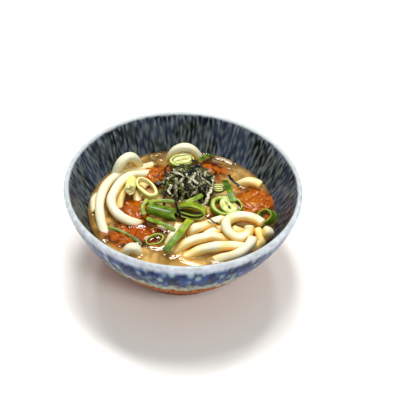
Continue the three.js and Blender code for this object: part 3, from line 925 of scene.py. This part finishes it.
def onion_material():
    """Wet spring onion: pale flesh inside and a greener rind, with painted shade in the gaps."""
    g = Graph("onion", Roughness=0.3, IOR=1.33, Subsurface_Weight=0.12, Subsurface_Scale=0.002)
    mottle = g.math("ADD", g.math("MULTIPLY", g.noise(4, 3), 1.3), 0.35)
    green = g.math("MULTIPLY", g.value("green"), mottle)
    skin = g.fade(g.value("skin"), 0.3, 1)
    flesh = g.mix(g.fade(green, 0.1, 0.8), rgb(232, 226, 170), rgb(140, 158, 40))
    rind = g.mix(g.fade(green, 0.05, 0.45), rgb(216, 212, 124), rgb(150, 164, 32))
    rind = g.mix(g.fade(green, 0.4, 0.75), rind, rgb(92, 120, 16))
    rind = g.mix(g.fade(green, 0.7, 1.05), rind, rgb(42, 72, 12))
    colour = g.mix(skin, flesh, rind)
    # Painted shade: the onion is coloured darker where it is shut in.
    painted_shade = g.fade(g.value("shelter"), 0.35, 1.1)
    g.colour(g.mix(painted_shade, colour, g.mix(g.fade(green, 0.1, 0.7), rgb(192, 178, 96), rgb(30, 46, 8))))
    g.bump(g.noise(1.2, 2, (1, 1, 0.3)), 0.1, 0.4)
    return g.material


def relish_material():
    """Chopped relish in oil: bright where a piece stands up, and brown in the creases and gaps as painted
    shade.
    """
    g = Graph("relish", Roughness=0.07, IOR=1.33)
    tone = g.math("ADD", g.value("tone"), g.centred(g.noise(3.5, 3), 1.3))
    lit = g.mix(g.fade(tone, -0.05, 0.25), rgb(136, 54, 0), rgb(212, 120, 0))
    lit = g.mix(g.fade(tone, 0.2, 0.5), lit, rgb(255, 200, 30))
    lit = g.mix(g.fade(tone, 0.6, 1), lit, rgb(252, 224, 96))
    # Painted shade: the relish is darkened in the creases between pieces and where it is shut in.
    crease_shade = g.math("MULTIPLY", g.fade(g.value("crest"), 0.4, 0), 0.8)
    painted_shade = g.fade(g.math("ADD", g.value("shelter"), crease_shade), 0.3, 1.1)
    g.colour(g.mix(painted_shade, lit, rgb(146, 66, 0)))
    g.bump(g.noise(2.5, 2), 0.6, 0.9)
    return g.material


def nori_material():
    """Dried seaweed: near black, with some shreds olive, and the palest ones near white as a painted
    highlight.
    """
    g = Graph("nori", Roughness=0.3, IOR=1.33)
    speck = g.fade(g.noise(1.4, 2), 0.4, 0.75)
    pale = g.value("pale")
    tone = g.mix(speck, rgb(5, 8, 6), rgb(32, 38, 24))
    tone = g.mix(g.fade(pale, 0.35, 0.6), tone, g.mix(speck, rgb(64, 68, 26), rgb(140, 142, 68)))
    # Shreds paler than about 0.7 are painted near white: a painted highlight.
    g.colour(g.mix(g.fade(pale, 0.7, 0.8), tone, g.mix(speck, rgb(134, 130, 98), rgb(230, 224, 198))))
    g.bump(g.noise(0.9, 2), 0.2, 0.8)
    return g.material


def broth_material():
    """Cloudy broth: what lies just under the surface shows through. Red oil floats round the relish."""
    g = Graph("broth", Roughness=0.04, IOR=1.45)
    deep = g.value("deep")
    cloud = g.fade(g.noise(16, 3), 0.35, 0.65)
    murk = g.mix(cloud, rgb(142, 104, 40), rgb(206, 162, 84))
    murk = g.mix(g.fade(deep, 3, 16), murk, rgb(92, 62, 20))
    dimmed = g.mix(cloud, rgb(80, 64, 22), rgb(146, 110, 50))
    murk = g.mix(g.math("MULTIPLY", g.value("dim"), 0.5), murk, dimmed)
    slick = g.fade(g.math("ADD", g.value("oil"), g.centred(g.noise(9, 3), 0.9)), 0.25, 0.8)
    g.colour(g.mix(slick, murk, g.mix(g.fade(g.noise(7, 3), 0.4, 0.72), rgb(72, 24, 2), rgb(196, 100, 16))))
    veil = g.math("SUBTRACT", 1, g.math("EXPONENT", g.math("MULTIPLY", deep, -0.2)))
    veil = g.math("MAXIMUM", veil, g.math("MULTIPLY", slick, 0.55))
    veil = g.math("MAXIMUM", veil, g.value("veil"))
    g.feed(g.shader.inputs["Alpha"], g.math("MAXIMUM", veil, 0.25))
    g.bump(g.noise(7, 2), 0.25, 0.5)
    return g.material


class WallGraph(Graph):
    """Shader nodes with patterns that run down the bowl's wall from the rim."""

    def __init__(self, name, **settings):
        super().__init__(name, **settings)
        self.run = self.value("run")
        x, y, self.height = self.node("SeparateXYZ", {0: self.place()}).outputs
        plan = self.node("CombineXYZ", {0: x, 1: y}).outputs[0]
        bearing = self.node("VectorMath", {0: plan}, operation="NORMALIZE").outputs[0]
        self.bearing = self.node("SeparateXYZ", {0: bearing}).outputs[:2]

    def on_wall(self, width, length):
        """A place on the wall, in cells of a width round the rim and a length down the wall."""
        x, y = (self.math("MULTIPLY", side, RIM_R / width) for side in self.bearing)
        return self.node("CombineXYZ", {0: x, 1: y, 2: self.math("DIVIDE", self.run, length)}).outputs[0]

    def drips(self, width, length, detail=1.5):
        inputs = {"Vector": self.on_wall(width, length), "Scale": 1.0, "Detail": detail}
        return self.node("TexNoise", inputs).outputs[0]

    def spots(self, seed):
        inputs = {"Vector": self.on_wall(6, 11), "Scale": 1.0, "Randomness": 0.8, "W": seed}
        cells = self.node("TexVoronoi", inputs, voronoi_dimensions="4D")
        return self.fade(cells.outputs["Distance"], 0.52, 0.12)


def inside_glaze(g, fine, coarse):
    """Nearly black glaze with grey streaks that start at a ragged paler fringe."""
    colour = g.mix(g.fade(coarse, 0.38, 0.62), rgb(7, 11, 16), rgb(46, 54, 58))
    broad = g.fade(g.drips(22, 30, 1), 0.45, 0.65)
    colour = g.mix(g.math("MULTIPLY", broad, 0.4), colour, rgb(54, 68, 98))
    colour = g.mix(g.math("MULTIPLY", g.fade(fine, 0.36, 0.8), 0.5), colour, rgb(120, 128, 122))
    fringe = g.fade(g.math("SUBTRACT", g.run, g.centred(fine, 16)), 6, 1)
    return g.mix(g.math("MULTIPLY", fringe, 0.7), colour, rgb(112, 124, 142))


def outside_glaze(g, coarse, ragged):
    """Blue glaze with pale spots, and a cream edge where it ends."""
    colour = g.mix(g.fade(coarse, 0.4, 0.6), rgb(14, 30, 66), rgb(42, 68, 122))
    pale = g.math("MAXIMUM", g.math("MAXIMUM", g.spots(0), g.spots(7)), g.spots(3))
    colour = g.mix(g.math("MULTIPLY", pale, 0.75), colour, rgb(152, 180, 184))
    cream = g.mix(g.fade(g.noise(3, 3), 0.3, 0.7), rgb(96, 124, 112), rgb(190, 200, 166))
    return g.mix(g.math("MULTIPLY", g.fade(ragged, 56, 48), 0.85), colour, cream)


def bowl_material():
    """Dark blue glaze that has run down in drips, a worn pale rim and bare clay round the foot."""
    g = WallGraph("bowl_glaze", IOR=1.2)
    inner = g.value("inner")
    fine, coarse = g.drips(2, 6, 0), g.drips(4.5, 11)
    ragged = g.math("ADD", g.math("MULTIPLY", g.height, 1 / MM), g.math("MULTIPLY", g.drips(4, 16), 14))
    bare = g.fade(ragged, 45, 42)
    clay = g.mix(g.fade(g.drips(2.6, 6, 3), 0.34, 0.62), rgb(108, 44, 16), rgb(184, 112, 62))
    outside = g.mix(bare, outside_glaze(g, coarse, ragged), clay)
    lip = g.fade(g.math("SUBTRACT", g.run, g.centred(coarse, 5)), 8.5, 1.5)
    outside = g.mix(g.math("MULTIPLY", lip, 0.9), outside, rgb(214, 220, 232))
    glaze = g.mix(inner, outside, inside_glaze(g, fine, coarse))
    worn = g.fade(g.math("ADD", g.run, g.centred(g.noise(5, 3), 4)), 3, 0.6)
    g.colour(g.mix(worn, glaze, g.mix(g.noise(5, 2), rgb(142, 148, 140), rgb(196, 202, 208))))
    outer_bare = g.math("MULTIPLY", bare, g.math("SUBTRACT", 1, inner))
    g.feed(g.shader.inputs["Roughness"], g.math("ADD", 0.22, g.math("MULTIPLY", outer_bare, 0.5)))
    g.bump(g.math("ADD", coarse, fine), 0.3, 0.4)
    return g.material


# ---------------------------------------------------------------- pieces

def add_piece(name, shape, material, nodes):
    mesh = bpy.data.meshes.new(name)
    mesh.from_pydata((shape.verts * MM).tolist(), [], shape.faces)
    for key, values in shape.values.items():
        layer = mesh.attributes.new(key, "FLOAT", "POINT")
        layer.data.foreach_set("value", np.asarray(values, np.float32))
    mesh.polygons.foreach_set("use_smooth", [True] * len(mesh.polygons))
    mesh.materials.append(material)
    piece = bpy.data.objects.new(name, mesh)
    bpy.context.scene.collection.objects.link(piece)
    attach(piece, "root")
    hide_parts(*nodes)


# From pale to stained; on the noodles on top the darker tones also stand for painted shade in gaps and
# underneath.
COOKED = [rgb(212, 208, 178), rgb(218, 198, 128), rgb(236, 194, 100), rgb(192, 128, 44)]
STEEPED = [rgb(226, 190, 120), rgb(214, 168, 92), rgb(196, 138, 60), rgb(150, 90, 34)]

cooked = noodle_material("noodle", COOKED)
steeped = noodle_material("steeped_noodle", STEEPED)
onion_look = onion_material()
relish_look = relish_material()
nori_look = nori_material()
add_piece("bowl_body", bowl(), bowl_material(), ["bowl"])
add_piece("noodles_on_top", noodles, cooked, ["noodles"])
add_piece("noodles_sunken", sunken, steeped, ["noodles"])
add_piece("noodles_core", core, steeped, ["noodles"])
for name, shape in onions.items():
    add_piece(name + "_look", shape, onion_look, [name])
for name, shape in relishes.items():
    add_piece(name + "_look", shape, relish_look, [name])
add_piece("nori_shreds", nori_shreds, nori_look, ["nori"])
add_piece("nori_bed", nori_bed, nori_look, ["nori"])
add_piece("broth_body", soup, broth_material(), ["broth"])

# ---------------------------------------------------------------- floor, light and camera

FLOOR_CORNERS = [(-4, -4, 0), (4, -4, 0), (4, 6, 0), (-4, 6, 0)]

# Lights that aim at the middle of the bowl: name, place, size and power.
LIGHTS = [
    ("key", (-0.1, 0.35, 1.2), 0.35, 12),
    ("glint", (0.05, 0.15, 1.2), 0.14, 2.6),
    ("glint", (-0.45, 0.5, 1.2), 0.14, 2.6),
    ("glint", (0.28, 0.5, 1.2), 0.14, 2.6),
    ("fill", (0.35, -0.75, 0.9), 0.3, 6),
]
LIGHT_AIM = (0, 0, 0.04)
STUDIO_STRENGTH = 0.32

CAMERA_AIM = (11.2506, -14.7435, BOWL_H)
CAMERA_DISTANCE = 750
CAMERA_ELEVATION = 42.0197
CAMERA_ROLL = 3.1325
LENS = 105.08
SENSOR = 36


def add_floor():
    mesh = bpy.data.meshes.new("floor")
    mesh.from_pydata(FLOOR_CORNERS, [], [(0, 1, 2, 3)])
    mesh.materials.append(Graph("floor", Roughness=0.7).colour(rgb(244, 242, 238)).material)
    floor = bpy.data.objects.new("floor", mesh)
    bpy.context.scene.collection.objects.link(floor)


def add_light(name, place, size, power):
    lamp = bpy.data.lights.new(name, "AREA")
    lamp.energy = power
    lamp.size = size
    light = bpy.data.objects.new(name, lamp)
    light.location = place
    light.rotation_mode = "QUATERNION"
    light.rotation_quaternion = (Vector(LIGHT_AIM) - Vector(place)).to_track_quat("-Z", "Y")
    bpy.context.scene.collection.objects.link(light)


def add_studio():
    """Even light from all round."""
    world = bpy.data.worlds.new("studio")
    world.use_nodes = True
    background = world.node_tree.nodes["Background"]
    background.inputs["Color"].default_value = (1, 1, 1, 1)
    background.inputs["Strength"].default_value = STUDIO_STRENGTH
    bpy.context.scene.world = world


def add_camera():
    elevation, roll = math.radians(CAMERA_ELEVATION), math.radians(CAMERA_ROLL)
    back = Vector((0, -math.cos(elevation), math.sin(elevation)))
    right = Vector((1, 0, 0))
    over = back.cross(right)
    across = right * math.cos(roll) + over * math.sin(roll)
    upward = over * math.cos(roll) - right * math.sin(roll)
    place = (Vector(CAMERA_AIM) + back * CAMERA_DISTANCE) * MM
    camera = bpy.data.objects.new("camera", bpy.data.cameras.new("camera"))
    camera.data.sensor_width = SENSOR
    camera.data.lens = LENS
    camera.data.clip_start = 0.01
    rotation = Matrix((across, upward, back)).transposed()
    camera.matrix_world = Matrix.Translation(place) @ rotation.to_4x4()
    bpy.context.scene.collection.objects.link(camera)
    bpy.context.scene.camera = camera


add_floor()
for light in LIGHTS:
    add_light(*light)
add_studio()
add_camera()
bpy.context.scene.view_settings.view_transform = "Standard"
